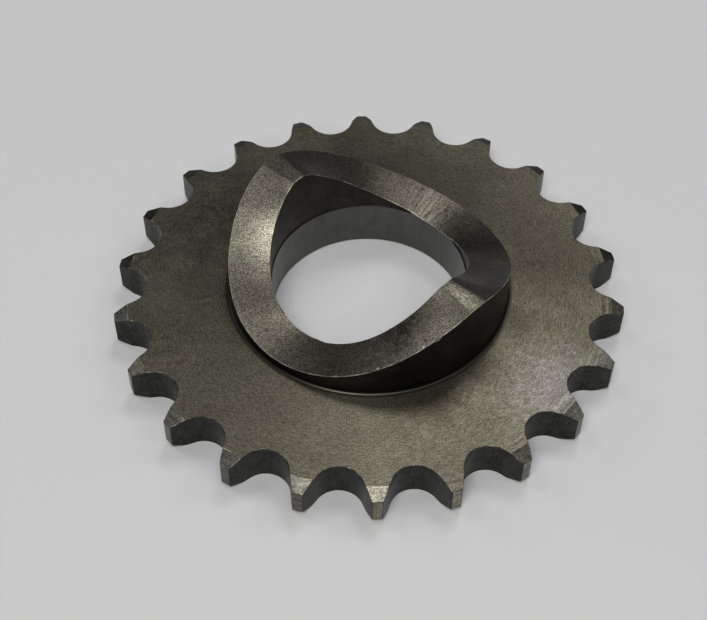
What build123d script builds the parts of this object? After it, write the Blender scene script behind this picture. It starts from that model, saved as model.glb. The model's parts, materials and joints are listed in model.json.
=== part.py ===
from build123d import *

import os
from math import atan2, cos, degrees, hypot, pi, radians, sin, sqrt

# Engine sprocket with a two-lobed face cam on its hub, turned and milled from one piece of steel.
# The origin is on the bore axis at the flat back face and +Z points out of the cam.
# +X runs through the middle of a tooth gap. Lengths are in millimetres and angles in degrees.

# Chain that the teeth carry: half-inch pitch, for a five-sixteenths inner width
CHAIN_PITCH = 12.7
ROLLER_DIAMETER = 8.51
TOOTH_COUNT = 22

# Tooth gap: a seat a little larger than the roller, and a bulging tooth flank on each side
SEAT_CLEARANCE = 0.04
SEAT_ANGLE = 127.0
FLANK_RADIUS = 29.0

# Toothed plate, bevelled on both faces from the tips inwards
TIP_DIAMETER = 92.5
PLATE_THICKNESS = 7.2
BEVEL_WIDTH = 2.4
BEVEL_DEPTH = 1.0

# Hub ring and its bore: a ground stretch from the back face, then a slightly wider relief
HUB_DIAMETER = 50.4
FOOT_RADIUS = 0.6
BORE_DIAMETER = 35.0
BORE_LENGTH = 9.3
RELIEF_DIAMETER = 35.4
BORE_EDGE = 0.3

# Face cam: heights above the plate, and the bearing of the first crest
LOBE_COUNT = 2
CREST_HEIGHT = 14.1
VALLEY_HEIGHT = 1.7
CREST_BEARING = -46.0

# Crest land: gently crowned between two creases, where the ramps fall away more steeply
LAND_ANGLE = 8.4
LAND_SLOPE_SHARE = 0.2
CREASE_SLOPE_SHARE = 0.5

# Shares of the turn from crest to valley that are rounded: the crests fan out from bore to rim
OUTER_CREST_SHARE = 0.25
INNER_CREST_SHARE = 0.13
VALLEY_SHARE = 0.57

# Spans between the points of a guide curve, on a crest land and on the sweep between two lands
LAND_SPANS = 4
SWEEP_SPANS = 36

# Small knock in the outer edge of the cam, on the ramp below the first crest
DENT_BEARING = -66.0
DENT_RADIUS = 1.0
DENT_DEPTH = 0.25

# Overrun of a cutting shape past the metal that it removes
OVERRUN = 1.5

# Derived sizes
PITCH_RADIUS = CHAIN_PITCH / (2 * sin(pi / TOOTH_COUNT))
SEAT_RADIUS = ROLLER_DIAMETER / 2 + SEAT_CLEARANCE
TIP_RADIUS = TIP_DIAMETER / 2
HUB_RADIUS = HUB_DIAMETER / 2
BORE_RADIUS = BORE_DIAMETER / 2
RELIEF_RADIUS = RELIEF_DIAMETER / 2
CREST_LEVEL = PLATE_THICKNESS + CREST_HEIGHT
VALLEY_LEVEL = PLATE_THICKNESS + VALLEY_HEIGHT
HALF_LOBE = 180 / LOBE_COUNT
HALF_LAND = LAND_ANGLE / 2


def polar(radius, bearing):
    """Point of the XY plane at a radius and a bearing."""
    return Vector(radius * cos(radians(bearing)), radius * sin(radians(bearing)))


def bearing_of(vector):
    """Bearing of a vector in the XY plane."""
    return degrees(atan2(vector.Y, vector.X))


def arc_between(centre, radius, start, end):
    """Arc about a centre, the short way round from one point to another."""
    first = bearing_of(start - centre)
    turn = (bearing_of(end - centre) - first + 180) % 360 - 180
    return CenterArc(centre, radius, first, turn)


def turned_blank():
    """Plate and hub ring as they leave the lathe, before any tooth or cam is cut."""
    foot = PLATE_THICKNESS + FOOT_RADIUS
    outside = Polyline(
        (HUB_RADIUS + FOOT_RADIUS, PLATE_THICKNESS),
        (TIP_RADIUS - BEVEL_WIDTH, PLATE_THICKNESS),
        (TIP_RADIUS, PLATE_THICKNESS - BEVEL_DEPTH),
        (TIP_RADIUS, BEVEL_DEPTH),
        (TIP_RADIUS - BEVEL_WIDTH, 0),
        (0, 0),
        (0, CREST_LEVEL),
        (HUB_RADIUS, CREST_LEVEL),
        (HUB_RADIUS, foot),
    )
    fillet_arc = CenterArc((HUB_RADIUS + FOOT_RADIUS, foot), FOOT_RADIUS, 180, 90)
    section = Plane.XZ * make_face([outside, fillet_arc])
    return revolve(section, Axis.Z)


def flank_end(centre, reach):
    """Where a flank's circle crosses a circle of radius reach about the bore, on the gap's side."""
    distance = hypot(centre.X, centre.Y)
    along = (reach**2 - FLANK_RADIUS**2 + distance**2) / (2 * distance)
    across = sqrt(reach**2 - along**2)
    outward = centre * (1 / distance)
    sideways = Vector(outward.Y, -outward.X)
    return outward * along + sideways * across


def gap_outline():
    """One tooth gap, centred on +X: the roller seat, two flanks and a closing arc past the tips."""
    roller = Vector(PITCH_RADIUS, 0)
    seat_start = 180 - SEAT_ANGLE / 2
    corner = roller + polar(SEAT_RADIUS, seat_start)
    flank_centre = roller + polar(SEAT_RADIUS + FLANK_RADIUS, seat_start)
    end = flank_end(flank_centre, TIP_RADIUS + OVERRUN)
    seat = CenterArc(roller, SEAT_RADIUS, seat_start, SEAT_ANGLE)
    upper = arc_between(flank_centre, FLANK_RADIUS, corner, end)
    lower = mirror(upper, Plane.XZ)
    closing = arc_between(Vector(0, 0), TIP_RADIUS + OVERRUN, Vector(end.X, -end.Y), end)
    return make_face([seat, upper, lower, closing])


def tooth_gaps():
    """All the tooth gaps, spaced evenly round the plate."""
    gap = extrude(gap_outline(), PLATE_THICKNESS)
    return [Rot(0, 0, number * 360 / TOOTH_COUNT) * gap for number in range(TOOTH_COUNT)]


def profile_height(turn, crest_share):
    """Height of the cam at a turn away from a crest: land, shoulder, helical ramp, rounded valley."""
    crest_part = crest_share * HALF_LOBE
    valley_part = VALLEY_SHARE * HALF_LOBE
    straight_part = HALF_LOBE - crest_part - valley_part
    shoulder_part = crest_part - HALF_LAND
    land_fall = LAND_SLOPE_SHARE * HALF_LAND / 2
    shoulder_fall = (1 + CREASE_SLOPE_SHARE) * shoulder_part / 2
    full_fall = land_fall + shoulder_fall + straight_part + valley_part / 2
    slope = (CREST_LEVEL - VALLEY_LEVEL) / full_fall
    if turn < HALF_LAND:
        return CREST_LEVEL - slope * land_fall * (turn / HALF_LAND) ** 2
    if turn < crest_part:
        past = turn - HALF_LAND
        steepening = (1 - CREASE_SLOPE_SHARE) * past**2 / (2 * shoulder_part)
        return CREST_LEVEL - slope * (land_fall + CREASE_SLOPE_SHARE * past + steepening)
    if turn < HALF_LOBE - valley_part:
        return CREST_LEVEL - slope * (land_fall + shoulder_fall + turn - crest_part)
    return VALLEY_LEVEL + slope * (HALF_LOBE - turn) ** 2 / (2 * valley_part)


def cam_point(radius, bearing):
    """Point of the cam face, on the straight radial line between the bore and hub profiles."""
    past_crest = (bearing - CREST_BEARING) % (2 * HALF_LOBE)
    turn = min(past_crest, 2 * HALF_LOBE - past_crest)
    inner = profile_height(turn, INNER_CREST_SHARE)
    outer = profile_height(turn, OUTER_CREST_SHARE)
    across = (radius - BORE_RADIUS) / (HUB_RADIUS - BORE_RADIUS)
    return polar(radius, bearing) + Vector(0, 0, inner + (outer - inner) * across)


def cam_curve(radius, start, turn, spans):
    """Guide curve of the cam face at one radius, over one land or one sweep."""
    points = [cam_point(radius, start + turn * number / spans) for number in range(spans + 1)]
    return Edge.make_spline(points, parameters=list(range(spans + 1)))


def cam_cutter(start, turn, spans):
    """Everything above one stretch of the cam face, out past both walls of the hub ring."""
    inner_edge = cam_curve(BORE_RADIUS - OVERRUN, start, turn, spans)
    outer_edge = cam_curve(HUB_RADIUS + OVERRUN, start, turn, spans)
    face = Face.make_surface_from_curves(inner_edge, outer_edge)
    return Solid.extrude(face, Vector(0, 0, CREST_LEVEL))


def cam_cutters():
    """Cutters for the crest lands and for the sweeps from each land through a valley to the next."""
    cutters = []
    for lobe in range(LOBE_COUNT):
        land_start = CREST_BEARING - HALF_LAND + lobe * 2 * HALF_LOBE
        cutters.append(cam_cutter(land_start, LAND_ANGLE, LAND_SPANS))
        cutters.append(cam_cutter(land_start + LAND_ANGLE, 2 * HALF_LOBE - LAND_ANGLE, SWEEP_SPANS))
    return cutters


def edge_dent():
    """Ball that takes a shallow bite out of the cam's outer edge, coming in from above and outside."""
    edge = cam_point(HUB_RADIUS, DENT_BEARING)
    offset = (DENT_RADIUS - DENT_DEPTH) / sqrt(2)
    place = edge + polar(offset, DENT_BEARING) + Vector(0, 0, offset)
    return Pos(place) * Sphere(DENT_RADIUS)


def bore_cutter():
    """The ground bore, the wider relief above it and the broken edge at the back face."""
    section = Polyline(
        (0, 0),
        (BORE_RADIUS + BORE_EDGE, 0),
        (BORE_RADIUS, BORE_EDGE),
        (BORE_RADIUS, BORE_LENGTH),
        (RELIEF_RADIUS, BORE_LENGTH),
        (RELIEF_RADIUS, CREST_LEVEL + OVERRUN),
        (0, CREST_LEVEL + OVERRUN),
        close=True,
    )
    return revolve(Plane.XZ * make_face(section), Axis.Z)


def engine_sprocket():
    """The whole part: the blank with its teeth, its cam face and its bore cut, and its one dent."""
    body = turned_blank() - tooth_gaps()
    body = body - cam_cutters()
    body = body - bore_cutter()
    return body - edge_dent()


os.makedirs("parts", exist_ok=True)
sprocket = engine_sprocket()
export_step(sprocket, "parts/engine_sprocket.step")
print("engine_sprocket", round(sprocket.volume), "mm3", sprocket.bounding_box())
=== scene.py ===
# %% [markdown]
# # A sprocket with a face cam, lesson in cells
# The object is an engine sprocket for a roller chain. It was turned, toothed and milled from one piece of
# steel, and its hub ends in a face cam with two lobes, on which a spring-loaded partner rides up and down.
# One piece of steel is one mesh here too. It is built the way the workshop made it: one tooth is drawn and
# copied round the plate, the hub is turned by spinning its section, and the cam is milled into its end.
# Then come the looks: each machined face of the steel has its own finish.

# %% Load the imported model, which fixes the place and size of everything
import json
from math import acos, atan2, cos, degrees, hypot, pi, radians, sin

import bpy
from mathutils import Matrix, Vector


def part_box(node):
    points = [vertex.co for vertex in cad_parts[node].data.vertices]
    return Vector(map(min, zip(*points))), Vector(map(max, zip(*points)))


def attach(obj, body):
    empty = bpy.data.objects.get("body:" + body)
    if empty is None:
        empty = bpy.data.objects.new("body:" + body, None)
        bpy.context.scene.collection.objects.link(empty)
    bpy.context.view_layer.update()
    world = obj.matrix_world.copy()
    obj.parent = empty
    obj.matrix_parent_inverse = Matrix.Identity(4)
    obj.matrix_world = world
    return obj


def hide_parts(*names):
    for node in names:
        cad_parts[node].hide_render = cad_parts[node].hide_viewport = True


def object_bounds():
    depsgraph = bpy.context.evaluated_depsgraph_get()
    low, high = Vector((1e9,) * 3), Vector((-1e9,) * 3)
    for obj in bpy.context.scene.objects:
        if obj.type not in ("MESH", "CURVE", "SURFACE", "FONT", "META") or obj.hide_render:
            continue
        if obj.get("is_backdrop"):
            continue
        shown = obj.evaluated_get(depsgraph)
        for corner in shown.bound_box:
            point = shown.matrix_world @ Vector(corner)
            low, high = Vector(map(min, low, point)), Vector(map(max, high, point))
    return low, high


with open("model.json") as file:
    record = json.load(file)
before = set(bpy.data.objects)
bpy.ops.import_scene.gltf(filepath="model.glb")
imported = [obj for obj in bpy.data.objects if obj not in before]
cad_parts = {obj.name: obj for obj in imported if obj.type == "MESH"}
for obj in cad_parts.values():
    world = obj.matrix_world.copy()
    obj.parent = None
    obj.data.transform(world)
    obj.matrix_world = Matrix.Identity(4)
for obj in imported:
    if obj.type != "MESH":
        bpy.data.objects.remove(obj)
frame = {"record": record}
cad_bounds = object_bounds()
low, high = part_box("engine_sprocket")
print("CAD box, mm:", [round(value * 1000, 2) for value in (*low, *high)])

# %% [markdown]
# ## Sizes
# Blender works in metres and a machinist thinks in millimetres, so every length is written as a number of
# MM. The overall sizes come from the frame, the bore comes from its mount in the record, and the rest are
# the sizes that a drawing of this sprocket would give. Two tiny lengths say when places count as the same.
# The cam's bearings are in degrees, and its shares are of the turn from a crest to a valley.

# %% Sizes of the sprocket
MM = 0.001
HAIR = 0.01 * MM
MERGE_DISTANCE = 0.001 * MM

TOOTH_COUNT = 22
CHAIN_PITCH = 12.7 * MM
SEAT_RADIUS = 4.295 * MM
SEAT_ANGLE = radians(127)
FLANK_RADIUS = 29 * MM
TIP_RADIUS = high.y
PLATE_THICKNESS = 7.2 * MM
RIM_WIDTH = 2.4 * MM
RIM_DROP = 1.0 * MM

HUB_RADIUS = 25.2 * MM
FOOT_RADIUS = 0.6 * MM
RELIEF_RADIUS = 17.7 * MM
BORE_EDGE = 0.3 * MM

LOBE_COUNT = 2
CREST_LEVEL = high.z
VALLEY_LEVEL = 8.9 * MM
CREST_BEARING = -46.0
HALF_LAND = 4.2
LAND_SLOPE_SHARE = 0.2
CREASE_SLOPE_SHARE = 0.5
OUTER_CREST_SHARE = 0.25
INNER_CREST_SHARE = 0.13
VALLEY_SHARE = 0.57

bore = next(mount for mount in frame["record"]["mounts"] if mount["name"] == "bore")
BORE_RADIUS = bore["dims"]["r_mm"] * MM
BORE_TOP = bore["pos_m"][2] + bore["dims"]["length_mm"] * MM / 2 + BORE_EDGE

HALF_TOOTH = pi / TOOTH_COUNT
PITCH_RADIUS = CHAIN_PITCH / (2 * sin(HALF_TOOTH))
RIM_RADIUS = TIP_RADIUS - RIM_WIDTH
PLATE_INNER_RADIUS = HUB_RADIUS + FOOT_RADIUS
print("pitch radius, mm:", round(PITCH_RADIUS / MM, 3), "bore top, mm:", round(BORE_TOP / MM, 2))

# %% [markdown]
# ## Camera
# A photograph's frame is met when the camera has its place, its turn and its angle of view. Here the view
# looks down at about fifty degrees from a quarter of a metre away, so the near teeth look larger than the
# far ones. The standard view transform shows each colour as it is written.

# %% Camera
CAMERA_PLACE = (-8.34 * MM, -166.15 * MM, 195.48 * MM)
CAMERA_TURN = (40.317, -0.428, -1.424)
CAMERA_LENS = 70.3
SENSOR_WIDTH = 36

bpy.ops.object.camera_add(location=CAMERA_PLACE, rotation=[radians(angle) for angle in CAMERA_TURN])
camera = bpy.context.object
camera.name = "camera"
camera.data.lens = CAMERA_LENS
camera.data.sensor_width = SENSOR_WIDTH
camera.data.clip_start = 1 * MM
bpy.context.scene.camera = camera
bpy.context.scene.view_settings.view_transform = "Standard"
print("camera looks from", [round(value / MM) for value in CAMERA_PLACE], "mm")

# %% [markdown]
# ## Nodes
# A look is made of nodes: each takes values in on its left and gives a new one out on its right. These
# helpers add a node, do a sum with one, turn a value into a soft mask, and mix two colours by a mask.


# %% Helpers for nodes
def add_node(tree, kind, inputs=(), **settings):
    """Adds a shader node, sets it up, and fills or links its inputs, given as pairs of socket and value."""
    node = tree.nodes.new("ShaderNode" + kind)
    for setting, value in settings.items():
        setattr(node, setting, value)
    for socket, value in inputs:
        if isinstance(value, bpy.types.NodeSocket):
            tree.links.new(value, node.inputs[socket])
        else:
            node.inputs[socket].default_value = value
    return node


def calculate(tree, operation, *values):
    """Result of a Math node on these values."""
    return add_node(tree, "Math", enumerate(values), operation=operation).outputs[0]


def combine(tree, operation, *values):
    """The Vector Math node that does this operation on these vectors."""
    return add_node(tree, "VectorMath", enumerate(values), operation=operation)


def ease(tree, value, start, end):
    """Mask that goes softly from 0 to 1 while a value goes from start to end."""
    limits = [("Value", value), ("From Min", start), ("From Max", end)]
    return add_node(tree, "MapRange", limits, interpolation_type="SMOOTHSTEP").outputs["Result"]


def mix(tree, mask, under, over, blend="MIX"):
    """Colour that goes from one to another, or is multiplied by it, where a mask says."""
    colours = [("Fac", mask), ("Color1", under), ("Color2", over)]
    return add_node(tree, "MixRGB", colours, blend_type=blend).outputs["Color"]


def new_material(name, metallic, roughness, colour):
    """A material with its Principled shader, ready for more nodes. Returns the material and the shader."""
    material = bpy.data.materials.new(name)
    material.use_nodes = True
    shader = material.node_tree.nodes["Principled BSDF"]
    shader.inputs["Metallic"].default_value = metallic
    shader.inputs["Roughness"].default_value = roughness
    shader.inputs["Base Color"].default_value = (*colour, 1)
    return material, shader


# %% [markdown]
# ## A floor without end
# The sprocket lies on a plain pale floor. The lamps light the floor round it, and further off it would go
# dark, which a low camera would see. So between a third of a metre and one metre away the floor turns from
# a lit surface into a pale glow of the same grey. Only the camera and mirrored rays see the glow.

# %% Floor
FLOOR_SIZE = 12.0
FLOOR_COLOUR = (0.6, 0.603, 0.6)
FLOOR_GLOW = (0.56, 0.563, 0.56)
GLOW_START = 0.35
GLOW_FULL = 1.0
BLACK = (0, 0, 0, 1)

bpy.ops.mesh.primitive_plane_add(size=FLOOR_SIZE, location=(0, 0, 0))
floor = bpy.context.object
floor.name = "floor"
floor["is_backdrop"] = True

floor_paper, floor_shader = new_material("floor_paper", 0, 0.9, FLOOR_COLOUR)
floor_shader.inputs["Specular IOR Level"].default_value = 0.2
floor.data.materials.append(floor_paper)

tree = floor_paper.node_tree
rays = add_node(tree, "LightPath").outputs
seen = calculate(tree, "MAXIMUM", rays["Is Camera Ray"], rays["Is Glossy Ray"])
seen = calculate(tree, "MAXIMUM", seen, rays["Is Transmission Ray"])
place = add_node(tree, "TexCoord").outputs["Object"]
far = ease(tree, combine(tree, "LENGTH", place).outputs["Value"], GLOW_START, GLOW_FULL)
lit_colour = mix(tree, far, (*FLOOR_COLOUR, 1), BLACK)
glow_colour = mix(tree, calculate(tree, "MULTIPLY", far, seen), BLACK, (*FLOOR_GLOW, 1))
tree.links.new(lit_colour, floor_shader.inputs["Base Color"])
tree.links.new(glow_colour, floor_shader.inputs["Emission Color"])
floor_shader.inputs["Emission Strength"].default_value = 1
print("floor:", FLOOR_SIZE, "m wide,", len(tree.nodes), "nodes")

# %% [markdown]
# ## Lamps and room
# Bare steel is a mirror with a blurred image: it shows the room more than itself. So the lamps are soft
# panels all round. The strongest hang in front on the left, and light the face of the cam, one behind is
# what the flat plate mirrors, and weaker low ones keep the walls of the teeth from going black. The room
# itself is nearly dark. Each lamp has its bearing and elevation in degrees, its width in metres and its
# power in watts.

# %% Lamps
LAMP_DISTANCE = 1.2
LAMPS = (
    ("lamp_front_left", -115, 60, 0.4, 4.3),
    ("lamp_front", -86, 61, 0.4, 3.0),
    ("lamp_overhead", -90, 80, 0.4, 0.6),
    ("lamp_front_low", -113, 42, 0.5, 1.3),
    ("lamp_front_right", -28, 42, 0.5, 1.25),
    ("lamp_right", 25, 42, 0.5, 1.5),
    ("lamp_back", 68, 60, 0.4, 2.7),
    ("lamp_back_left", 155, 60, 0.4, 1.4),
    ("lamp_left", 148, 32, 0.5, 1.0),
)


def soft_panel(name, bearing, elevation, size, power):
    """A round lamp that hangs in a direction, given in degrees, and faces the sprocket."""
    turn = radians(bearing)
    rise = radians(elevation)
    place = Vector((cos(rise) * cos(turn), cos(rise) * sin(turn), sin(rise))) * LAMP_DISTANCE
    bpy.ops.object.light_add(type="AREA", location=place)
    lamp = bpy.context.object
    lamp.name = name
    lamp.rotation_euler = place.to_track_quat("Z", "Y").to_euler()
    lamp.data.shape = "DISK"
    lamp.data.size = size
    lamp.data.energy = power


for settings in LAMPS:
    soft_panel(*settings)
print("lamps:", len(LAMPS))

# %% Room
ROOM_CEILING = (0.01, 0.01, 0.01, 1)

world = bpy.data.worlds.new("room")
bpy.context.scene.world = world
world.use_nodes = True
tree = world.node_tree
direction = add_node(tree, "TexCoord").outputs["Generated"]
height = add_node(tree, "SeparateXYZ", [("Vector", direction)]).outputs["Z"]
ramp = add_node(tree, "ValToRGB", [("Fac", height)])
ramp.color_ramp.elements[0].color = BLACK
ramp.color_ramp.elements[1].color = ROOM_CEILING
tree.links.new(ramp.outputs["Color"], tree.nodes["Background"].inputs["Color"])
print("room:", len(tree.nodes), "nodes")

# %% [markdown]
# ## Working in edit mode
# A mesh tool acts on all that is selected. These helpers select one object, go into edit mode and come
# back out, so that each later step touches only its own piece. The last three say where a place lies about
# the bore, and which faces stand upright.

# %% Helpers for edit mode
UPRIGHT_LIMIT = 0.3


def pick(*pieces):
    """Selects only these objects and makes the first one active."""
    bpy.ops.object.select_all(action="DESELECT")
    for piece in pieces:
        piece.select_set(True)
    bpy.context.view_layer.objects.active = pieces[0]


def choose_faces(piece, test):
    """Selects the faces that pass a test, and leaves the piece in edit mode."""
    bpy.ops.object.mode_set(mode="EDIT")
    bpy.ops.mesh.select_mode(type="FACE")
    bpy.ops.mesh.select_all(action="DESELECT")
    bpy.ops.object.mode_set(mode="OBJECT")
    for face in piece.data.polygons:
        face.select = test(face)
    bpy.ops.object.mode_set(mode="EDIT")


def start_point(name, place):
    """A new mesh of one vertex, selected in edit mode, from which a section can be drawn."""
    bpy.ops.object.select_all(action="DESELECT")
    bpy.ops.mesh.primitive_plane_add(size=MM)
    piece = bpy.context.object
    piece.name = name
    bpy.ops.object.mode_set(mode="EDIT")
    bpy.ops.mesh.select_mode(type="VERT")
    bpy.ops.mesh.merge(type="CENTER")
    bpy.ops.transform.translate(value=place)
    return piece


def line_to(start, end):
    """Draws a straight line from the selected vertex."""
    bpy.ops.mesh.extrude_region_move(TRANSFORM_OT_translate={"value": Vector(end) - Vector(start)})


def arc_about(centre, angle, steps, axis=(0, 0, 1)):
    """Draws an arc from the selected vertex. A positive angle turns it counterclockwise about the axis."""
    bpy.ops.mesh.spin(steps=steps, angle=-angle, center=centre, axis=axis)


def merge_doubles():
    """Joins the vertices of the piece in edit mode that lie in one place."""
    bpy.ops.mesh.select_all(action="SELECT")
    bpy.ops.mesh.remove_doubles(threshold=MERGE_DISTANCE)


def on_circle(radius, angle, level=0):
    """Point at a radius and an angle about the bore, at a level."""
    return Vector((radius * cos(angle), radius * sin(angle), level))


def reach_of(place):
    """Distance of a place from the axis of the bore."""
    return hypot(place.x, place.y)


def bearing_of(place):
    """Bearing of a place about the axis of the bore, in radians."""
    return atan2(place.y, place.x)


def is_upright(face):
    """Whether a face stands on edge, like a wall."""
    return abs(face.normal.z) < UPRIGHT_LIMIT


# %% [markdown]
# ## One tooth of the plate
# The hob that cut the teeth left the same outline twenty-two times, so one pitch is drawn and the rest are
# copies. It runs from the middle of one gap to the middle of the next: half a roller seat, a bulging
# flank, the tip, and the same again. A vertex spun about the right centre draws each of these arcs.

# %% Outline of one pitch
SEAT_STEPS = 12
FLANK_STEPS = 6
TIP_STEPS = 4
RING_STEPS_PER_TOOTH = 32


def reach_angle(side, other, opposite):
    """Angle between two sides of a triangle, from the lengths of all three."""
    return acos((side**2 + other**2 - opposite**2) / (2 * side * other))


seat_centre = on_circle(PITCH_RADIUS, -HALF_TOOTH)
root = on_circle(PITCH_RADIUS - SEAT_RADIUS, -HALF_TOOTH)
corner_direction = pi - HALF_TOOTH - SEAT_ANGLE / 2
corner = seat_centre + on_circle(SEAT_RADIUS, corner_direction)
flank_centre = seat_centre + on_circle(SEAT_RADIUS + FLANK_RADIUS, corner_direction)
tip_bearing = bearing_of(flank_centre) - reach_angle(flank_centre.length, TIP_RADIUS, FLANK_RADIUS)
tip_start = on_circle(TIP_RADIUS, tip_bearing)
flank_turn = (corner - flank_centre).angle(tip_start - flank_centre)

tooth = start_point("tooth", root)
arc_about(seat_centre, -SEAT_ANGLE / 2, SEAT_STEPS)
arc_about(flank_centre, flank_turn, FLANK_STEPS)
arc_about((0, 0, 0), -2 * tip_bearing, TIP_STEPS)
arc_about(flank_centre * Vector((1, -1, 1)), flank_turn, FLANK_STEPS)
arc_about(seat_centre * Vector((1, -1, 1)), -SEAT_ANGLE / 2, SEAT_STEPS)
line_to(on_circle(PITCH_RADIUS - SEAT_RADIUS, HALF_TOOTH), on_circle(PLATE_INNER_RADIUS, HALF_TOOTH))
arc_about((0, 0, 0), -2 * HALF_TOOTH, RING_STEPS_PER_TOOTH)
line_to(on_circle(PLATE_INNER_RADIUS, -HALF_TOOTH), root)
merge_doubles()
bpy.ops.mesh.select_all(action="SELECT")
bpy.ops.mesh.edge_face_add()
bpy.ops.object.mode_set(mode="OBJECT")
print("outline points:", len(tooth.data.vertices), "faces:", len(tooth.data.polygons))

# %% [markdown]
# The tips are bevelled on both sides, because the blank was turned with a sloping rim before it was hobbed.
# A cut across the tooth marks where the slope starts, three short cuts along it keep the slope round, and
# the flat outline then gets its thickness. The faces where one pitch meets the next, and where the plate
# will meet the hub, are inside the steel, so they are deleted.

# %% Thickness and rim of one pitch
RIM_CUTS = (radians(-1), 0, radians(1))
RIM_ARC = radians(1.5)
ANGLE_TOLERANCE = 0.0001

choose_faces(tooth, lambda face: True)
bpy.ops.mesh.bisect(plane_co=(RIM_RADIUS, 0, 0), plane_no=(1, 0, 0))
for cut in RIM_CUTS:
    choose_faces(tooth, lambda face: face.center.x > RIM_RADIUS)
    bpy.ops.mesh.bisect(plane_co=(0, 0, 0), plane_no=(-sin(cut), cos(cut), 0))

choose_faces(tooth, lambda face: True)
bpy.ops.mesh.extrude_region_move(TRANSFORM_OT_translate={"value": (0, 0, PLATE_THICKNESS)})
bpy.ops.object.mode_set(mode="OBJECT")

for vertex in tooth.data.vertices:
    place = vertex.co
    on_rim_line = abs(place.x - RIM_RADIUS) < MERGE_DISTANCE
    if on_rim_line and abs(bearing_of(place)) < RIM_ARC:
        place.xy *= RIM_RADIUS / reach_of(place)
    elif place.x > RIM_RADIUS and not on_rim_line:
        drop = (reach_of(place) - RIM_RADIUS) * RIM_DROP / RIM_WIDTH
        place.z += drop if place.z < PLATE_THICKNESS / 2 else -drop


def inside_the_steel(face):
    """Whether an upright face of one pitch lies against its neighbour or against the hub."""
    at_neighbour = abs(abs(bearing_of(face.center)) - HALF_TOOTH) < ANGLE_TOLERANCE
    at_hub = reach_of(face.center) < PLATE_INNER_RADIUS + HAIR
    return is_upright(face) and (at_neighbour or at_hub)


choose_faces(tooth, inside_the_steel)
bpy.ops.mesh.delete(type="FACE")
bpy.ops.object.mode_set(mode="OBJECT")
print("one pitch:", len(tooth.data.vertices), "vertices,", len(tooth.data.polygons), "faces")

# %% Twenty-two pitches make the plate
pitches = []
for number in range(TOOTH_COUNT):
    pick(tooth)
    bpy.ops.object.duplicate()
    pitch = bpy.context.object
    pitch.rotation_euler.z = (2 * number + 1) * HALF_TOOTH
    bpy.ops.object.transform_apply(location=False, rotation=True, scale=False)
    pitches.append(pitch)
bpy.data.objects.remove(tooth)
pick(*pitches)
bpy.ops.object.join()
plate = bpy.context.object
bpy.ops.object.mode_set(mode="EDIT")
merge_doubles()
bpy.ops.object.mode_set(mode="OBJECT")
print("plate:", len(plate.data.vertices), "vertices,", len(plate.data.polygons), "faces")

# %% [markdown]
# ## The hub
# The hub is turned, so its section is drawn once, as the lathe tool would trace it, and spun round the
# bore: the foot's small radius, the wall, the flat end, the relieved bore and the ground bore. The steps
# of the spin match the points along the plate's inner edge, so that the two meet point to point.

# %% Section of the hub, and its spin
FOOT_STEPS = 4
FACE_RINGS = 4
RING_STEPS = TOOTH_COUNT * RING_STEPS_PER_TOOTH

ring_width = HUB_RADIUS - RELIEF_RADIUS
face_points = [
    (HUB_RADIUS - ring_width * number / FACE_RINGS, CREST_LEVEL) for number in range(FACE_RINGS + 1)
]
section = [
    (HUB_RADIUS, PLATE_THICKNESS + FOOT_RADIUS),
    *face_points,
    (RELIEF_RADIUS, BORE_TOP),
    (BORE_RADIUS, BORE_TOP),
    (BORE_RADIUS, BORE_EDGE),
    (BORE_RADIUS + BORE_EDGE, 0),
    (PLATE_INNER_RADIUS, 0),
]

hub = start_point("hub", (PLATE_INNER_RADIUS, 0, PLATE_THICKNESS))
foot_centre = (PLATE_INNER_RADIUS, 0, PLATE_THICKNESS + FOOT_RADIUS)
arc_about(foot_centre, pi / 2, FOOT_STEPS, axis=(0, 1, 0))
for here, there in zip(section, section[1:]):
    line_to((here[0], 0, here[1]), (there[0], 0, there[1]))
bpy.ops.mesh.select_all(action="SELECT")
bpy.ops.mesh.spin(steps=RING_STEPS, angle=2 * pi, center=(0, 0, 0), axis=(0, 0, 1))
merge_doubles()
bpy.ops.object.mode_set(mode="OBJECT")
print("hub:", len(hub.data.vertices), "vertices,", len(hub.data.polygons), "faces")

# %% [markdown]
# ## The cam
# A cam is a height for each bearing. Each crest is a narrow land between two creases. Past a crease the
# face rounds over a shoulder, then falls as a helix, then is rounded out into the valley. The cutter lay
# along the radius, so the face is straight from the bore to the hub's wall, but its shoulders are wider at
# the wall. Each point of the flat end is moved to its height, and where the face comes below the top of the
# ground bore, so do the points there.


# %% Cam heights
def profile_height(turn, crest_share):
    """Height at a turn away from a crest, in degrees: land, shoulder, helical ramp, rounded valley."""
    half_lobe = 180 / LOBE_COUNT
    crest_part = crest_share * half_lobe
    valley_part = VALLEY_SHARE * half_lobe
    straight_part = half_lobe - crest_part - valley_part
    shoulder_part = crest_part - HALF_LAND
    land_fall = LAND_SLOPE_SHARE * HALF_LAND / 2
    shoulder_fall = (1 + CREASE_SLOPE_SHARE) * shoulder_part / 2
    slope = (CREST_LEVEL - VALLEY_LEVEL) / (land_fall + shoulder_fall + straight_part + valley_part / 2)
    if turn < HALF_LAND:
        return CREST_LEVEL - slope * land_fall * (turn / HALF_LAND) ** 2
    if turn < crest_part:
        past = turn - HALF_LAND
        steepening = (1 - CREASE_SLOPE_SHARE) * past**2 / (2 * shoulder_part)
        return CREST_LEVEL - slope * (land_fall + CREASE_SLOPE_SHARE * past + steepening)
    if turn < half_lobe - valley_part:
        return CREST_LEVEL - slope * (land_fall + shoulder_fall + turn - crest_part)
    return VALLEY_LEVEL + slope * (half_lobe - turn) ** 2 / (2 * valley_part)


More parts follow.
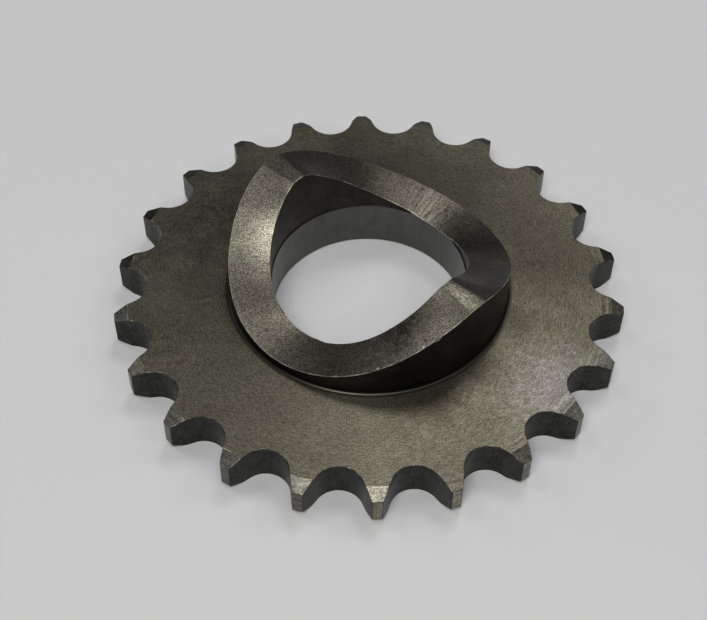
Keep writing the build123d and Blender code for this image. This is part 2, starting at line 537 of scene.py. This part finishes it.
def cam_height(reach, bearing):
    """Height of the cam face, on the straight line from its inner to its outer profile."""
    lobe = 360 / LOBE_COUNT
    past_crest = (bearing - CREST_BEARING) % lobe
    turn = min(past_crest, lobe - past_crest)
    inner = profile_height(turn, INNER_CREST_SHARE)
    outer = profile_height(turn, OUTER_CREST_SHARE)
    across = (reach - BORE_RADIUS) / (HUB_RADIUS - BORE_RADIUS)
    return inner + (outer - inner) * across


for vertex in hub.data.vertices:
    place = vertex.co
    reach = reach_of(place)
    height_here = cam_height(reach, degrees(bearing_of(place)))
    if place.z > CREST_LEVEL - HAIR:
        place.z = height_here
    if reach < RELIEF_RADIUS + HAIR and place.z > BORE_EDGE + MM and height_here < BORE_TOP:
        place.z = height_here
        place.xy *= BORE_RADIUS / reach
print("cam from", round(VALLEY_LEVEL / MM, 2), "to", round(CREST_LEVEL / MM, 2), "mm above the back face")

# %% One mesh of one piece of steel
pick(hub, plate)
bpy.ops.object.join()
sprocket = bpy.context.object
sprocket.name = "sprocket_body"
sprocket.data.name = "sprocket_body"
bpy.ops.object.mode_set(mode="EDIT")
merge_doubles()
bpy.ops.mesh.normals_make_consistent(inside=False)
bpy.ops.mesh.select_mode(type="VERT")
bpy.ops.mesh.select_all(action="DESELECT")
bpy.ops.mesh.select_non_manifold()
bpy.ops.object.mode_set(mode="OBJECT")
print("open or odd places:", sum(vertex.select for vertex in sprocket.data.vertices))

# %% [markdown]
# ## A knock in the edge
# Low on one ramp something hard has knocked the cam's outer edge. A small ball, sunk in the edge from above
# and outside, takes the same bite out of the mesh.

# %% Knock
KNOCK_BEARING = radians(-66)
KNOCK_RADIUS = 1.0 * MM
KNOCK_DEPTH = 0.25 * MM

knocked_edge = on_circle(HUB_RADIUS, KNOCK_BEARING, cam_height(HUB_RADIUS, degrees(KNOCK_BEARING)))
outwards = on_circle(1, KNOCK_BEARING, 1).normalized()
bpy.ops.mesh.primitive_ico_sphere_add(
    subdivisions=4, radius=KNOCK_RADIUS, location=knocked_edge + outwards * (KNOCK_RADIUS - KNOCK_DEPTH)
)
knock = bpy.context.object
pick(sprocket)
cut = sprocket.modifiers.new("knock", "BOOLEAN")
cut.operation = "DIFFERENCE"
cut.solver = "EXACT"
cut.object = knock
bpy.ops.object.modifier_apply(modifier="knock")
bpy.data.objects.remove(knock)
print("after the knock:", len(sprocket.data.polygons), "faces")

# %% [markdown]
# ## Patterns that the finishes share
# Bare steel is never one colour. It keeps the marks of the tool that cut it, a film of old oil, the grain of
# the metal, and small pits. Each of these patterns is a node group, built once and placed in the finishes
# with its own amounts. All of them read a position in millimetres on the sprocket itself.

# %% Helpers for patterns
FAINT = 0.28
STRONG = 0.72


def open_pattern(name, **amounts):
    """A node group that makes a mask from a position. Returns its tree and the sockets of its inputs."""
    tree = bpy.data.node_groups.new(name, "ShaderNodeTree")
    for label, amount in {"Position": (0, 0, 0), **amounts}.items():
        kind = "NodeSocketVector" if isinstance(amount, tuple) else "NodeSocketFloat"
        socket = tree.interface.new_socket(name=label, in_out="INPUT", socket_type=kind)
        socket.default_value = amount
    tree.interface.new_socket(name="Mask", in_out="OUTPUT", socket_type="NodeSocketFloat")
    return tree, tree.nodes.new("NodeGroupInput").outputs


def close_pattern(tree, mask):
    """Sends the mask to the output of a node group."""
    tree.links.new(mask, tree.nodes.new("NodeGroupOutput").inputs["Mask"])
    print("pattern:", tree.name, "with", len(tree.nodes), "nodes")


def noise_at(tree, position, cells, detail):
    """Value of noise with so many cells to a unit of length."""
    inputs = [("Vector", position), ("Scale", cells), ("Detail", detail)]
    return add_node(tree, "TexNoise", inputs).outputs[0]


def off_axis(tree, position):
    """The position's parts, its place across the axis, and its distance from the axis."""
    parts = add_node(tree, "SeparateXYZ", [("Vector", position)]).outputs
    level = add_node(tree, "CombineXYZ", [("X", parts["X"]), ("Y", parts["Y"])]).outputs["Vector"]
    return parts, level, combine(tree, "LENGTH", level).outputs["Value"]


# %% [markdown]
# The grain is plain noise with its contrast raised. The marks of a turning tool run round the axis, and
# those of a cutter that came in from the side run along the radius. Both are noise on a stretched position:
# the direction from the axis, times one amount, keeps a mark long or short round the sprocket, and the
# radius and the height, times the other, do so across it. Nothing has a seam, because a direction has none.

# %% Grain and tool marks
GRAIN, given = open_pattern("steel_grain", Cells=1.0)
close_pattern(GRAIN, ease(GRAIN, noise_at(GRAIN, given["Position"], given["Cells"], 3), FAINT, STRONG))

MARKS, given = open_pattern("tool_marks", Around=5.0, Across=2.0)
parts, level, distance_out = off_axis(MARKS, given["Position"])
direction_out = combine(MARKS, "NORMALIZE", level).outputs["Vector"]
around = add_node(MARKS, "VectorMath", [(0, direction_out), ("Scale", given["Around"])], operation="SCALE")
outwards_and_up = calculate(MARKS, "ADD", distance_out, parts["Z"])
stretched = calculate(MARKS, "MULTIPLY", outwards_and_up, given["Across"])
across = add_node(MARKS, "CombineXYZ", [("Z", stretched)])
mark_place = combine(MARKS, "ADD", around.outputs["Vector"], across.outputs["Vector"]).outputs["Vector"]
close_pattern(MARKS, ease(MARKS, noise_at(MARKS, mark_place, 1, 2), FAINT, STRONG))

# %% [markdown]
# Pits are dots, one in each cell of a pattern of cells, of which a small share is drawn by lot. A patch is a
# soft place with a ragged edge round one point: a large one marks a soft place, such as painted light and
# shade, and a small one makes a nick. A band is a ring between two radii.

# %% Pits, patches and bands
RAGGED_CELLS = 0.9

PITS, given = open_pattern("pits", Cells=1.0, Share=0.1, Size=0.2)
cells = add_node(PITS, "TexVoronoi", [("Vector", given["Position"]), ("Scale", given["Cells"])]).outputs
lot = add_node(PITS, "SeparateColor", [("Color", cells["Color"])]).outputs[0]
drawn = calculate(PITS, "LESS_THAN", lot, given["Share"])
dots = ease(PITS, cells["Distance"], given["Size"], 0)
close_pattern(PITS, calculate(PITS, "MULTIPLY", drawn, dots))

PATCH, given = open_pattern("patch", Radius=1.0, Blur=0.5, Place=(0, 0, 0))
reach_out = combine(PATCH, "DISTANCE", given["Position"], given["Place"]).outputs["Value"]
ragged = calculate(PATCH, "SUBTRACT", noise_at(PATCH, given["Position"], RAGGED_CELLS, 2), 0.5)
wander = calculate(PATCH, "MULTIPLY", ragged, given["Radius"])
clear_share = calculate(PATCH, "SUBTRACT", 1, given["Blur"])
inner_end = calculate(PATCH, "MULTIPLY", given["Radius"], clear_share)
close_pattern(PATCH, ease(PATCH, calculate(PATCH, "ADD", reach_out, wander), given["Radius"], inner_end))

BAND, given = open_pattern("band_between_radii", Inner=1.0, Outer=2.0, Blur=0.1)
parts, level, distance_out = off_axis(BAND, given["Position"])
inner_end = calculate(BAND, "SUBTRACT", given["Inner"], given["Blur"])
outer_end = calculate(BAND, "ADD", given["Outer"], given["Blur"])
past_inner = ease(BAND, distance_out, inner_end, given["Inner"])
before_outer = ease(BAND, distance_out, outer_end, given["Outer"])
close_pattern(BAND, calculate(BAND, "MULTIPLY", past_inner, before_outer))

# %% [markdown]
# ## Faces and their finishes
# Each face of the sprocket left its own machine with its own finish, so each gets its own material: the
# faced plate and its rim, the hobbed tooth walls, the turned hub wall, the milled cam, the relieved and the
# ground bore. In each material the patterns are added up with weights, and the sum picks a shade between
# the darkest and the lightest that the finish has. A second sum gives the height for the bump.

# %% Helpers for finishes
STEEL_GREY = (0.1, 0.1, 0.1)
PAINTED_LIGHT_BLUR = 0.85
SPOT_BLUR = 0.6


def steel(name, roughness):
    """A bare steel. Returns its tree, its shader and a position in millimetres."""
    material, shader = new_material(f"{name}_steel", 1, roughness, STEEL_GREY)
    shader.label = name
    tree = material.node_tree
    place = add_node(tree, "TexCoord").outputs["Object"]
    position = add_node(tree, "Mapping", [("Vector", place), ("Scale", (1 / MM, 1 / MM, 1 / MM))])
    return tree, shader, position.outputs["Vector"]


def finish_steel(tree, shader, colour, height, depth, roughness=None):
    """Links the colour, the bump from a height, and the roughness if it changes over the surface."""
    tree.links.new(colour, shader.inputs["Base Color"])
    bump = add_node(tree, "Bump", [("Height", height), ("Distance", depth)])
    tree.links.new(bump.outputs["Normal"], shader.inputs["Normal"])
    if roughness is not None:
        tree.links.new(roughness, shader.inputs["Roughness"])
    print("finish:", shader.label, "with", len(tree.nodes), "nodes")


def pattern(tree, group, position, **amounts):
    """Mask of a shared pattern, placed in a material with its own amounts."""
    inputs = [("Position", position), *amounts.items()]
    return add_node(tree, "Group", inputs, node_tree=group).outputs["Mask"]


def about_half(tree, mask, amount):
    """A mask scaled about one half, so that an amount of 0 takes it out of a weighed sum."""
    moved = calculate(tree, "SUBTRACT", mask, 0.5)
    return calculate(tree, "MULTIPLY_ADD", moved, amount, 0.5)


def weigh(tree, *terms):
    """Sum of masks about one half. Each term is a mask and how far it can move the sum."""
    total = 0.5
    for mask, weight in terms:
        moved = calculate(tree, "MULTIPLY_ADD", mask, weight, -weight / 2)
        total = calculate(tree, "ADD", moved, total)
    return total


def tone(colour, factor):
    """A colour, darker or lighter by a factor, with its alpha."""
    return (*(value * factor for value in colour), 1)


def shade(tree, value, colour, dark, middle, light):
    """Tone of a colour between three factors, as the value goes from 0 to 1."""
    ramp = add_node(tree, "ValToRGB", [("Fac", value)])
    elements = ramp.color_ramp.elements
    elements.new(0.5)
    for element, factor in zip(elements, (dark, middle, light)):
        element.color = tone(colour, factor)
    return ramp.outputs["Color"]


def painted_light_and_shade(tree, position, colour, places):
    """Colour multiplied in a few soft places, each given as a middle, a radius and a lightness: painted
    light and shade.
    """
    for middle, radius, lightness in places:
        mask = pattern(tree, PATCH, position, Place=middle, Radius=radius, Blur=PAINTED_LIGHT_BLUR)
        colour = mix(tree, mask, colour, (*lightness, 1), "MULTIPLY")
    return colour


def spots(tree, position, places, radius):
    """Mask of a few small spots at given places."""
    marked = 0.0
    for place in places:
        spot = pattern(tree, PATCH, position, Place=place, Radius=radius, Blur=SPOT_BLUR)
        marked = calculate(tree, "MAXIMUM", marked, spot)
    return marked


# %% [markdown]
# The plate was faced on a lathe, so faint rings run round it. They show in its colour only on the front
# right, and that is a painted sheen, where the rings catch the light. On the teeth, where the tool ran out,
# the margin is scored more coarsely, and on the other side, the front left, a painted highlight runs in
# patches along the crease where the rim starts to slope. A dull film of old oil lies over it in clouds, and
# the grain of the metal shows through, with three pits. Lighter and darker places are painted light and
# shade: painted highlights in front, strongest on the front right where the plate mirrors a lamp, and
# painted shade beside the hub and on the right. Close to the hub, on the small radius of the foot, a narrow
# dark ring is painted shade in the corner, and a fine dark line runs round it. Smears in the film make the
# plate a little duller or brighter.

# %% Plate
PLATE_STEEL = (0.121, 0.112, 0.0835)
OLD_OIL = (0.76, 0.74, 0.71, 1)
# Soft places of painted light and shade: painted highlights in front, painted shade beside the hub and on
# the right.
PLATE_LIGHT_AND_SHADE = (
    ((32, -25, 7.2), 12.5, (1.45, 1.5, 1.78)),
    ((36, 5, 7.2), 17, (0.7, 0.69, 0.67)),
    ((25.5, -9.5, 7.2), 6, (0.65, 0.64, 0.63)),
    ((19, -19.5, 7.2), 6, (0.65, 0.65, 0.65)),
    ((10, -28, 7.2), 7, (0.76, 0.74, 0.71)),
    ((17.5, -29, 7.2), 7, (0.88, 0.87, 0.86)),
    ((-39, -19, 7.2), 13, (1.3, 1.3, 1.3)),
    ((3, -42, 7.2), 10, (1.3, 1.28, 1.26)),
)
PLATE_PITS = ((21.3, -15.2, 7.2), (-11.6, -33.5, 7.2), (12, 33, 7.2))
PIT_RADIUS = 0.32
DULL_LIMITS = (-3, 3)
DULLEST = 0.64

tree, shader, position = steel("plate", 0.3)
cloud = pattern(tree, GRAIN, position, Cells=0.4)
mottle = pattern(tree, GRAIN, position, Cells=1.2)
fine = pattern(tree, GRAIN, position, Cells=5)
flecks = pattern(tree, MARKS, position, Around=45, Across=4.4)
rings = pattern(tree, MARKS, position, Around=6, Across=2.4)
# The rings show in the colour only on the front right: a painted sheen where they catch the light.
sheen_side = pattern(tree, PATCH, position, Place=(31, -6, 7.2), Radius=20, Blur=0.7)
rings_with_sheen = about_half(tree, rings, sheen_side)

scores = pattern(tree, MARKS, position, Around=2.2, Across=3.6)
margin = pattern(tree, BAND, position, Inner=41.9, Outer=43.7, Blur=0.3)
scored_side = pattern(tree, PATCH, position, Place=(42, -12, 7.2), Radius=42, Blur=0.7)
scored_amount = calculate(tree, "MULTIPLY_ADD", scored_side, 0.8, 0.25)
scored = about_half(tree, scores, calculate(tree, "MULTIPLY", margin, scored_amount))

# A painted highlight along the crease where the rim starts to slope, only on the front left, broken into
# patches.
glint_line = pattern(tree, BAND, position, Inner=43.7, Outer=43.85, Blur=0.08)
glint_side = pattern(tree, PATCH, position, Place=(-36, -30, 7.2), Radius=50, Blur=0.5)
glint_most = calculate(tree, "MULTIPLY", glint_line, glint_side)
glint_patches = ease(tree, pattern(tree, GRAIN, position, Cells=0.3), 0.3, 0.8)
wear_and_glint = calculate(tree, "MULTIPLY", glint_most, glint_patches)

# Painted shade on the foot's small radius, in the corner against the hub; just outside it, a fine dark line.
corner_shade = pattern(tree, BAND, position, Inner=25.2, Outer=25.75, Blur=0.1)
foot_line = pattern(tree, BAND, position, Inner=25.9, Outer=26.0, Blur=0.12)
faint_line = calculate(tree, "MULTIPLY", foot_line, 0.8)
oiled = ease(tree, pattern(tree, GRAIN, position, Cells=0.12), 0.45, 1)
film = calculate(tree, "MULTIPLY", oiled, 0.4)

lights = weigh(
    tree, (cloud, 0.1), (mottle, 0.06), (fine, 1.05), (flecks, 0.5), (rings_with_sheen, 0.2), (scored, 0.85)
)
colour = shade(tree, lights, PLATE_STEEL, 0.45, 1, 1.7)
colour = mix(tree, film, colour, OLD_OIL, "MULTIPLY")
# Painted highlights and painted shade in soft places on the plate.
colour = painted_light_and_shade(tree, position, colour, PLATE_LIGHT_AND_SHADE)
colour = mix(tree, spots(tree, position, PLATE_PITS, PIT_RADIUS), colour, tone(PLATE_STEEL, 0.4))
# Painted shade in the corner at the foot of the hub.
colour = mix(tree, corner_shade, colour, tone(PLATE_STEEL, 0.33))
colour = mix(tree, faint_line, colour, tone(PLATE_STEEL, 0.3))
# Painted highlight along the crease of the rim.
colour = mix(tree, wear_and_glint, colour, tone(PLATE_STEEL, 3))
heights = weigh(tree, (fine, 0.5), (flecks, 0.4), (rings, 0.4), (scored, 1.2))
smears = pattern(tree, GRAIN, position, Cells=0.07)
dullness = ease(tree, weigh(tree, (smears, 0.5), (mottle, 0.5)), *DULL_LIMITS)
finish_steel(tree, shader, colour, heights, 0.006 * MM, calculate(tree, "MULTIPLY", dullness, DULLEST))

# %% [markdown]
# The sloping rim and the flat ends of the tips are cleaner steel with rings from the lathe. Painted light
# and shade, each as wide as a side of the sprocket, make it lighter in front and darker behind and on the
# left, where its sloping faces turn towards the lamps and away from them.

# %% Sloping rim
RIM_STEEL = (0.1, 0.097, 0.083)
# Painted light in front, painted shade behind and on the left.
RIM_LIGHT_AND_SHADE = (
    ((0, 46, 6.7), 60, (0.4, 0.4, 0.4)),
    ((-46, 3, 6.7), 26, (0.6, 0.6, 0.6)),
    ((9, -46, 6.7), 31, (2.1, 2.03, 1.85)),
)

tree, shader, position = steel("rim", 0.34)
cloud = pattern(tree, GRAIN, position, Cells=0.5)
fine = pattern(tree, GRAIN, position, Cells=3)
rings = pattern(tree, MARKS, position, Around=6, Across=3.4)
lights = weigh(tree, (cloud, 0.25), (fine, 0.7), (rings, 0.5))
colour = shade(tree, lights, RIM_STEEL, 0.45, 1, 1.75)
colour = painted_light_and_shade(tree, position, colour, RIM_LIGHT_AND_SHADE)
finish_steel(tree, shader, colour, weigh(tree, (rings, 0.6), (fine, 0.3)), 0.005 * MM)

# %% [markdown]
# The milled cam has a coarser, sparkling grain, and the cutter left marks across it, along the radius. Its
# lighter and darker places are painted highlights and painted shade: lighter on the crests and on the ramps
# that face the lamps, darker on the ramps that turn away from them. A few nicks are dark, and where an edge
# was hit, a small burr shines.

# %% Cam
CAM_STEEL = (0.122, 0.114, 0.091)
# Painted highlights (factors above one) and painted shade (below one) on the cam's crests and ramps.
CAM_LIGHT_AND_SHADE = (
    ((14.6, -15.6, 21), 4.5, (1.5, 1.5, 1.5)),
    ((-17.3, 5.4, 16.3), 4.6, (1.45, 1.42, 1.37)),
    ((10, -22.5, 18), 5.5, (1.5, 1.5, 1.5)),
    ((20.5, -6, 17), 12, (0.38, 0.38, 0.4)),
    ((5.8, -17.6, 15.8), 6.5, (0.36, 0.36, 0.36)),
    ((3, -19.5, 13.5), 8, (0.5, 0.5, 0.5)),
    ((-19, -10.5, 9.5), 8, (0.78, 0.76, 0.74)),
    ((-10.8, -18.8, 9.4), 5.5, (1.3, 1.28, 1.26)),
    ((16.5, 14.5, 9.2), 5.5, (0.65, 0.65, 0.66)),
    ((5, 21, 12.5), 7, (1.5, 1.47, 1.43)),
    ((-16.5, 13.8, 19.5), 4.5, (0.75, 0.75, 0.75)),
    ((-24, 1.5, 14.5), 6.5, (0.8, 0.8, 0.8)),
    ((12.5, -17.4, 20.3), 3.5, (0.75, 0.75, 0.75)),
)
CAM_NICKS = ((-17.8, -0.2, 12.8), (8.6, -22.4, 17.9), (-14.2, -16.9, 9.0), (11, 21.5, 9.6))
CAM_BURRS = (
    (8.1, -23.6, 17.6),
    (-6.4, -24.3, 11),
    (0.6, -24.9, 13.7),
    (-7.9, 24, 17.2),
    (13.2, -16.2, 20.9),
)
SPOT_RADIUS = 0.35

tree, shader, position = steel("cam", 0.38)
cloud = pattern(tree, GRAIN, position, Cells=0.25)
mottle = pattern(tree, GRAIN, position, Cells=1.0)
fine = pattern(tree, GRAIN, position, Cells=5)
pitted = pattern(tree, PITS, position, Cells=1.3, Share=0.12, Size=0.22)
strokes = pattern(tree, MARKS, position, Around=80, Across=0.2)
cut_hard = pattern(tree, PATCH, position, Place=(11.8, 16.5, 9.2), Radius=7, Blur=0.7)
cut_lightly = calculate(tree, "MULTIPLY", pattern(tree, GRAIN, position, Cells=0.15), 0.3)
stroked = about_half(tree, strokes, calculate(tree, "ADD", cut_hard, cut_lightly))

lights = weigh(tree, (cloud, 0.12), (mottle, 0.1), (fine, 1.3), (stroked, 0.7))
colour = shade(tree, lights, CAM_STEEL, 0.4, 0.94, 1.85)
colour = painted_light_and_shade(tree, position, colour, CAM_LIGHT_AND_SHADE)
colour = mix(tree, pitted, colour, tone(CAM_STEEL, 0.4))
colour = mix(tree, spots(tree, position, CAM_NICKS, SPOT_RADIUS), colour, tone(CAM_STEEL, 0.3))
colour = mix(tree, spots(tree, position, CAM_BURRS, SPOT_RADIUS), colour, tone(CAM_STEEL, 4.5))
heights = weigh(tree, (fine, 0.7), (mottle, 0.2), (stroked, 0.7), (pitted, -0.8))
finish_steel(tree, shader, colour, heights, 0.008 * MM)

# %% [markdown]
# The hob sheared the tooth walls smooth and dark, with faint lines along the axis and a few specks.

# %% Tooth walls
TEETH_STEEL = (0.0405, 0.041, 0.0375)
AXIAL_STRETCH = (1, 1, 0.12)

tree, shader, position = steel("teeth", 0.4)
lengthwise = combine(tree, "MULTIPLY", position, AXIAL_STRETCH).outputs["Vector"]
lines = pattern(tree, GRAIN, lengthwise, Cells=2.0)
cloud = pattern(tree, GRAIN, position, Cells=0.5)
fine = pattern(tree, GRAIN, position, Cells=3)
specks = pattern(tree, PITS, position, Cells=0.9, Share=0.15, Size=0.2)
lights = weigh(tree, (lines, 0.3), (cloud, 0.35), (fine, 0.9))
colour = shade(tree, lights, TEETH_STEEL, 0.55, 1, 1.65)
colour = mix(tree, specks, colour, tone(TEETH_STEEL, 0.35))
heights = weigh(tree, (lines, 0.5), (fine, 0.2), (specks, -0.8))
finish_steel(tree, shader, colour, heights, 0.004 * MM)

# %% [markdown]
# The hub wall was turned and is nearly black with old oil. The relief inside the bore is as dark, with a
# brown cast, and the ground stretch of the bore is a cleaner grey with faint streaks along the axis.

# %% Hub wall, relief and bore
HUB_STEEL = (0.029, 0.028, 0.024)
RELIEF_STEEL = (0.033, 0.0305, 0.0238)
BORE_STEEL = (0.108, 0.1085, 0.105)

tree, shader, position = steel("hub_wall", 0.42)
cloud = pattern(tree, GRAIN, position, Cells=0.35)
fine = pattern(tree, GRAIN, position, Cells=2.2)
rings = pattern(tree, MARKS, position, Around=4, Across=2.2)
lights = weigh(tree, (rings, 0.15), (cloud, 0.3), (fine, 0.5))
colour = shade(tree, lights, HUB_STEEL, 0.5, 1, 1.8)
finish_steel(tree, shader, colour, weigh(tree, (rings, 0.4), (fine, 0.3)), 0.004 * MM)

tree, shader, position = steel("relief", 0.45)
cloud = pattern(tree, GRAIN, position, Cells=0.3)
fine = pattern(tree, GRAIN, position, Cells=2.2)
rings = pattern(tree, MARKS, position, Around=5, Across=2)
lights = weigh(tree, (cloud, 0.4), (fine, 0.6), (rings, 0.15))
colour = shade(tree, lights, RELIEF_STEEL, 0.6, 1, 1.5)
finish_steel(tree, shader, colour, weigh(tree, (rings, 0.4), (fine, 0.2)), 0.003 * MM)

tree, shader, position = steel("bore", 0.34)
cloud = pattern(tree, GRAIN, position, Cells=0.4)
fine = pattern(tree, GRAIN, position, Cells=4)
streaks = pattern(tree, MARKS, position, Around=38, Across=0.15)
lights = weigh(tree, (streaks, 0.2), (cloud, 0.25), (fine, 0.25))
colour = shade(tree, lights, BORE_STEEL, 0.65, 1, 1.4)
finish_steel(tree, shader, colour, weigh(tree, (streaks, 0.5), (fine, 0.1)), 0.003 * MM)

# %% [markdown]
# Edges are where a part is touched and rubbed. The cam's edges shine along most of their length, and the
# edges of the teeth only in spots.

# %% Edges
tree, shader, position = steel("cam_edges", 0.4)
wear_and_glint = pattern(tree, GRAIN, position, Cells=0.5)
fine = pattern(tree, GRAIN, position, Cells=4)
lights = weigh(tree, (wear_and_glint, 0.7), (fine, 0.4))
colour = shade(tree, lights, CAM_STEEL, 0.8, 2.6, 6)
finish_steel(tree, shader, colour, fine, 0.004 * MM)

tree, shader, position = steel("tooth_edges", 0.42)
wear_and_glint = pattern(tree, GRAIN, position, Cells=0.8)
fine = pattern(tree, GRAIN, position, Cells=4)
lights = weigh(tree, (wear_and_glint, 0.9), (fine, 0.5))
colour = shade(tree, lights, PLATE_STEEL, 0.3, 0.7, 3.2)
finish_steel(tree, shader, colour, fine, 0.004 * MM)

# %% [markdown]
# ## Finishes by place
# A face is known by where it lies and which way it looks, so its finish can be picked from these.

# %% Finish of each face
FINISHES = ("plate", "rim", "teeth", "hub_wall", "cam", "relief", "bore", "cam_edges", "tooth_edges")
LEVEL_OR_OUTWARDS = 0.98
TIP_MARGIN = 0.1 * MM
WALL_MARGIN = 0.05 * MM


def finish_of(face):
    """Name of the finish for a face, from its place and the way it looks."""
    reach = reach_of(face.center)
    outwards = (face.center.x * face.normal.x + face.center.y * face.normal.y) / max(reach, MM)
    if reach > TIP_RADIUS - TIP_MARGIN and outwards > LEVEL_OR_OUTWARDS:
        return "rim"
    if reach > PLATE_INNER_RADIUS and is_upright(face):
        return "teeth"
    if reach > RIM_RADIUS and abs(face.normal.z) < LEVEL_OR_OUTWARDS:
        return "rim"
    if reach > PLATE_INNER_RADIUS or face.center.z < HAIR:
        return "plate"
    if reach < RELIEF_RADIUS + WALL_MARGIN and is_upright(face):
        return "relief" if face.center.z > BORE_TOP else "bore"
    if reach < RELIEF_RADIUS:
        return "bore"
    if reach > HUB_RADIUS - WALL_MARGIN and face.center.z < PLATE_THICKNESS + FOOT_RADIUS:
        return "plate"
    if reach > HUB_RADIUS - WALL_MARGIN and is_upright(face):
        return "hub_wall"
    return "cam"


for name in FINISHES:
    sprocket.data.materials.append(bpy.data.materials[f"{name}_steel"])
for face in sprocket.data.polygons:
    face.material_index = FINISHES.index(finish_of(face))
for index, name in enumerate(FINISHES):
    print(name, "faces:", sum(face.material_index == index for face in sprocket.data.polygons))

# %% [markdown]
# The walls are shaded smooth and every edge gets a narrow bevel, which catches the light. The new faces of
# the bevel start with the finish of the cam's edges. Those out on the plate then go to the teeth, and those
# inside the bore, below the cam's inner edge, go to the relief.

# %% Broken edges and smooth walls
EDGE_WIDTH = 0.1 * MM
SMOOTH_BELOW = radians(15)
BEVEL_ABOVE = radians(30)


def below_cam_edge(face):
    """Whether a face lies in the bore, below both its top and the cam's inner edge at that bearing."""
    inner_edge = cam_height(RELIEF_RADIUS, degrees(bearing_of(face.center)))
    return face.center.z < min(BORE_TOP + EDGE_WIDTH, inner_edge - 2 * EDGE_WIDTH)


pick(sprocket)
bpy.ops.object.shade_smooth_by_angle(angle=SMOOTH_BELOW, keep_sharp_edges=False)
bevel = sprocket.modifiers.new("broken_edges", "BEVEL")
bevel.width = EDGE_WIDTH
bevel.segments = 2
bevel.limit_method = "ANGLE"
bevel.angle_limit = BEVEL_ABOVE
bevel.harden_normals = True
bevel.use_clamp_overlap = False
bevel.material = FINISHES.index("cam_edges")
bpy.ops.object.modifier_apply(modifier="broken_edges")
for face in sprocket.data.polygons:
    if face.material_index != FINISHES.index("cam_edges"):
        continue
    reach = reach_of(face.center)
    if reach > PLATE_INNER_RADIUS:
        name = "teeth" if is_upright(face) else "tooth_edges"
        face.material_index = FINISHES.index(name)
    elif reach < RELIEF_RADIUS + EDGE_WIDTH and below_cam_edge(face):
        face.material_index = FINISHES.index("relief")
print("finished:", len(sprocket.data.vertices), "vertices,", len(sprocket.data.polygons), "faces")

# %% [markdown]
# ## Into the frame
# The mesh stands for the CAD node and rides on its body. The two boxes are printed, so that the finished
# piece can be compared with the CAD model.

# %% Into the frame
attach(sprocket, "root")
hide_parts("engine_sprocket")

sizes = {
    "cad": [list(corner) for corner in cad_bounds],
    "visual": [list(corner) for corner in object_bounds()],
}
for name, box in sizes.items():
    print(name, "box, mm:", [[round(value / MM, 2) for value in corner] for corner in box])
